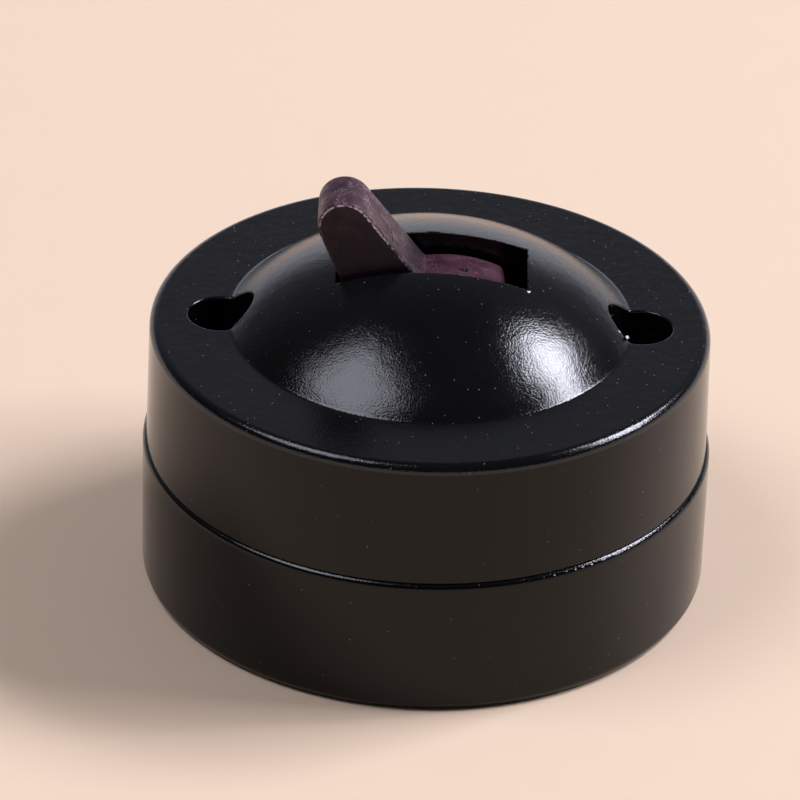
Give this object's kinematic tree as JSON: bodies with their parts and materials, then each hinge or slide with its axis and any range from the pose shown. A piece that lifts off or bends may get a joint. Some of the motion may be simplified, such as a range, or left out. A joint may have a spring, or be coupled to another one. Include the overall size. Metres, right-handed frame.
{
  "type": "toggle light switch",
  "caption": "Round surface-mounted toggle light switch with a domed cover, a tilting lever in a slot, and an over-centre contact mechanism on its base.",
  "frame": {"origin": "centre of the round base, on the back face that lies against the wall", "axes": "+Z out of the wall, the lever swings in the XZ plane and is drawn tipped to -X, +Y completes the right-handed frame"},
  "size_m": [0.0634, 0.0634, 0.0472],
  "materials": {
    "black_phenolic": "compression-moulded black phenolic, glossy on the dome and sides, satin on the flat",
    "brown_phenolic": "moulded maroon-brown phenolic, matte, rubbed pale at the edges",
    "zinc_plated_steel": "zinc-plated mild steel",
    "spring_wire": "drawn spring steel wire",
    "brass": "turned brass",
    "phosphor_bronze": "rolled phosphor bronze strip",
    "silver": "silver contact buttons"
  },
  "bodies": {
    "housing": {"base": "black_phenolic", "cover": "black_phenolic", "bridge": "zinc_plated_steel", "lever_pin": "zinc_plated_steel", "rocker_pin": "zinc_plated_steel", "bridge_rivet_front": "zinc_plated_steel", "bridge_rivet_back": "zinc_plated_steel", "cover_screw_left": "zinc_plated_steel", "cover_screw_right": "zinc_plated_steel", "terminal_front": "brass", "terminal_back": "brass", "terminal_screw_front": "brass", "terminal_screw_back": "brass", "terminal_bolt_front": "brass", "terminal_bolt_back": "brass", "cover_insert_left": "brass", "cover_insert_right": "brass", "fixed_contact_front": "phosphor_bronze", "fixed_contact_back": "phosphor_bronze", "fixed_tip_front": "silver", "fixed_tip_back": "silver"},
    "lever": {"lever": "brown_phenolic"},
    "rocker": {"rocker": "brown_phenolic", "contact_blade": "phosphor_bronze", "blade_rivet": "brass", "moving_tip_front": "silver", "moving_tip_back": "silver"},
    "spring": {"toggle_spring": "spring_wire"}
  },
  "joints": [
    {"name": "lever_tilt", "type": "hinge", "parent": "housing", "child": "lever", "pos_m": [0, 0, 0.0276], "axis": [0, 1, 0], "range_deg": [0, 60.8], "deforming": ["toggle_spring"]},
    {"name": "rocker_tilt", "type": "hinge", "parent": "housing", "child": "rocker", "pos_m": [0, 0, 0.013], "axis": [0, 1, 0], "range_deg": [0, 32]},
    {"name": "spring_swing", "type": "hinge", "parent": "lever", "child": "spring", "pos_m": [0.00283, 0, 0.02277], "axis": [0, 1, 0], "range_deg": [-123.27, 0]}
  ],
  "couplings": [
    {"joint": "rocker_tilt", "follows": "lever_tilt", "ratio": 0.52631},
    {"joint": "spring_swing", "follows": "lever_tilt", "ratio": -2.0274}
  ]
}
